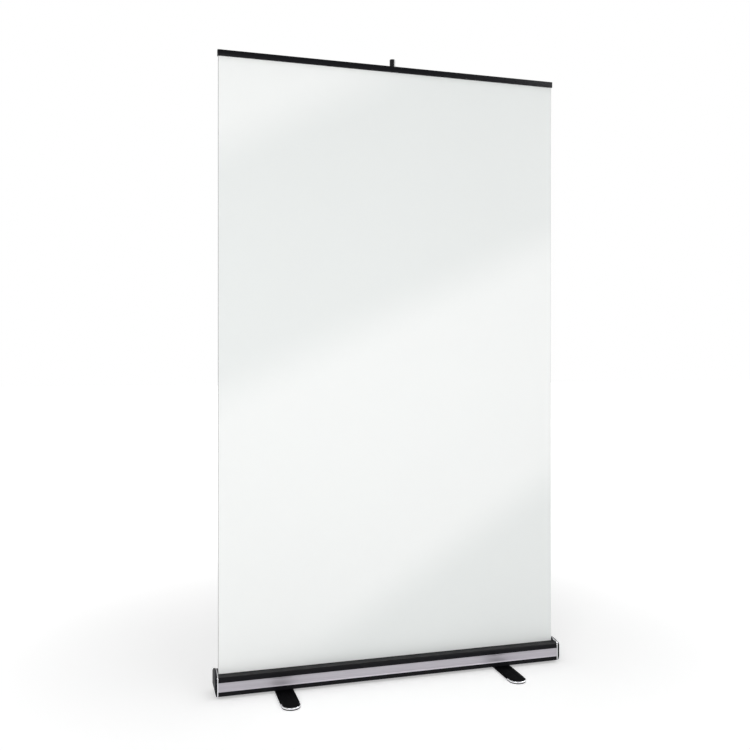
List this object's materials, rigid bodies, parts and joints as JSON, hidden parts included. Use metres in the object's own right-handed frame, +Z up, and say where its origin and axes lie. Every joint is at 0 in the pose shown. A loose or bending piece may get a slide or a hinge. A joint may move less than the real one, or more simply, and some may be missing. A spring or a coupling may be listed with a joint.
{
  "type": "roll-up banner stand",
  "caption": "Freestanding banner stand: blank film pulled up from a spring-roller cassette on swivel feet and held by a snap rail on a telescopic pole.",
  "frame": {"origin": "middle of the footprint, on the floor under the pads", "axes": "+X along the cassette, -Y towards the side the film is read from, +Z up along the pole"},
  "size_m": [1.221, 0.39, 2.119],
  "materials": {
    "black_anodised": "satin black anodised extrusion",
    "brushed_trim": "brushed along its length, lavender-grey tint",
    "black_plastic": "moulded black nylon, fine grain",
    "gloss_cover": "semi-gloss moulded black",
    "chrome_plate": "bright chrome plate",
    "zinc_steel": "zinc-plated steel",
    "nylon": "natural nylon",
    "mill_aluminium": "mill finish",
    "film": "satin printed film, faint diagonal tone bands, no text",
    "spring_steel": "oiled spring wire",
    "black_paint": "satin black powder coat on steel",
    "rubber": "soft black rubber"
  },
  "bodies": {
    "base": {"housing": "black_anodised", "trim_strip": "brushed_trim", "slot_liner_front": "black_plastic", "slot_liner_rear": "black_plastic", "end_plate_left": "chrome_plate", "end_plate_right": "chrome_plate", "end_cover_left": "gloss_cover", "end_cover_right": "gloss_cover", "end_plate_screws": "zinc_steel", "axle_bush": "nylon", "spindle": "zinc_steel", "torsion_spring": "spring_steel", "spring_anchor": "nylon", "pole_socket": "black_plastic", "socket_screws": "zinc_steel", "nut_plates": "zinc_steel", "foot_nuts": "zinc_steel", "foot_bolts": "zinc_steel", "foot_washers": "nylon", "pole_foot_plug": "black_plastic", "pole_tube_lower": "black_anodised", "lower_collar_sleeve": "black_plastic", "lower_collet": "nylon"},
    "roller": {"roller_tube": "mill_aluminium", "roller_plug_left": "nylon", "roller_plug_right": "nylon", "film_wraps": "film"},
    "foot_left": {"foot_bar_left": "black_paint", "foot_tips_left": "chrome_plate", "foot_pads_left": "rubber"},
    "foot_right": {"foot_bar_right": "black_paint", "foot_tips_right": "chrome_plate", "foot_pads_right": "rubber"},
    "mast_middle": {"middle_plug": "nylon", "pole_tube_middle": "black_anodised", "upper_collar_sleeve": "black_plastic", "upper_collet": "nylon"},
    "mast_upper": {"upper_plug": "nylon", "pole_tube_upper": "black_anodised", "pole_head": "gloss_cover"},
    "rail": {"rail_back": "black_anodised", "rail_end_caps": "black_plastic", "banner_film": "film"},
    "rail_jaw_body": {"rail_jaw": "black_anodised", "grip_strip": "rubber"},
    "lower_ring": {"lower_twist_ring": "black_plastic"},
    "upper_ring": {"upper_twist_ring": "black_plastic"}
  },
  "joints": [
    {"name": "mast_extend", "type": "slide", "parent": "base", "child": "mast_middle", "axis": [0, 0, 1], "range_m": [-0.59, 0], "deforming": ["banner_film"]},
    {"name": "upper_extend", "type": "slide", "parent": "mast_middle", "child": "mast_upper", "axis": [0, 0, 1], "range_m": [-0.59, 0]},
    {"name": "rail_unhook", "type": "slide", "parent": "mast_upper", "child": "rail", "axis": [0, 0, 1], "range_m": [0, 0.015]},
    {"name": "rail_jaw_open", "type": "hinge", "parent": "rail", "child": "rail_jaw_body", "pos_m": [0, -0.0073, 2.0845], "axis": [-1, 0, 0], "range_deg": [0, 70]},
    {"name": "roller_turn", "type": "hinge", "parent": "base", "child": "roller", "pos_m": [0, -0.023, 0.0385], "axis": [1, 0, 0], "range_deg": [-4230, 0]},
    {"name": "foot_left_swivel", "type": "hinge", "parent": "base", "child": "foot_left", "pos_m": [-0.386, 0, 0.005], "axis": [0, 0, 1], "range_deg": [0, 90]},
    {"name": "foot_right_swivel", "type": "hinge", "parent": "base", "child": "foot_right", "pos_m": [0.386, 0, 0.005], "axis": [0, 0, -1], "range_deg": [0, 90]},
    {"name": "lower_collar_twist", "type": "hinge", "parent": "base", "child": "lower_ring", "pos_m": [0, 0.01, 0.775], "axis": [0, 0, 1], "range_deg": [0, 110]},
    {"name": "upper_collar_twist", "type": "hinge", "parent": "mast_middle", "child": "upper_ring", "pos_m": [0, 0.01, 1.415], "axis": [0, 0, 1], "range_deg": [0, 110]}
  ],
  "couplings": [
    {"joint": "upper_extend", "follows": "mast_extend", "ratio": 1},
    {"joint": "roller_turn", "follows": "mast_extend", "rad_per_m": 125}
  ]
}
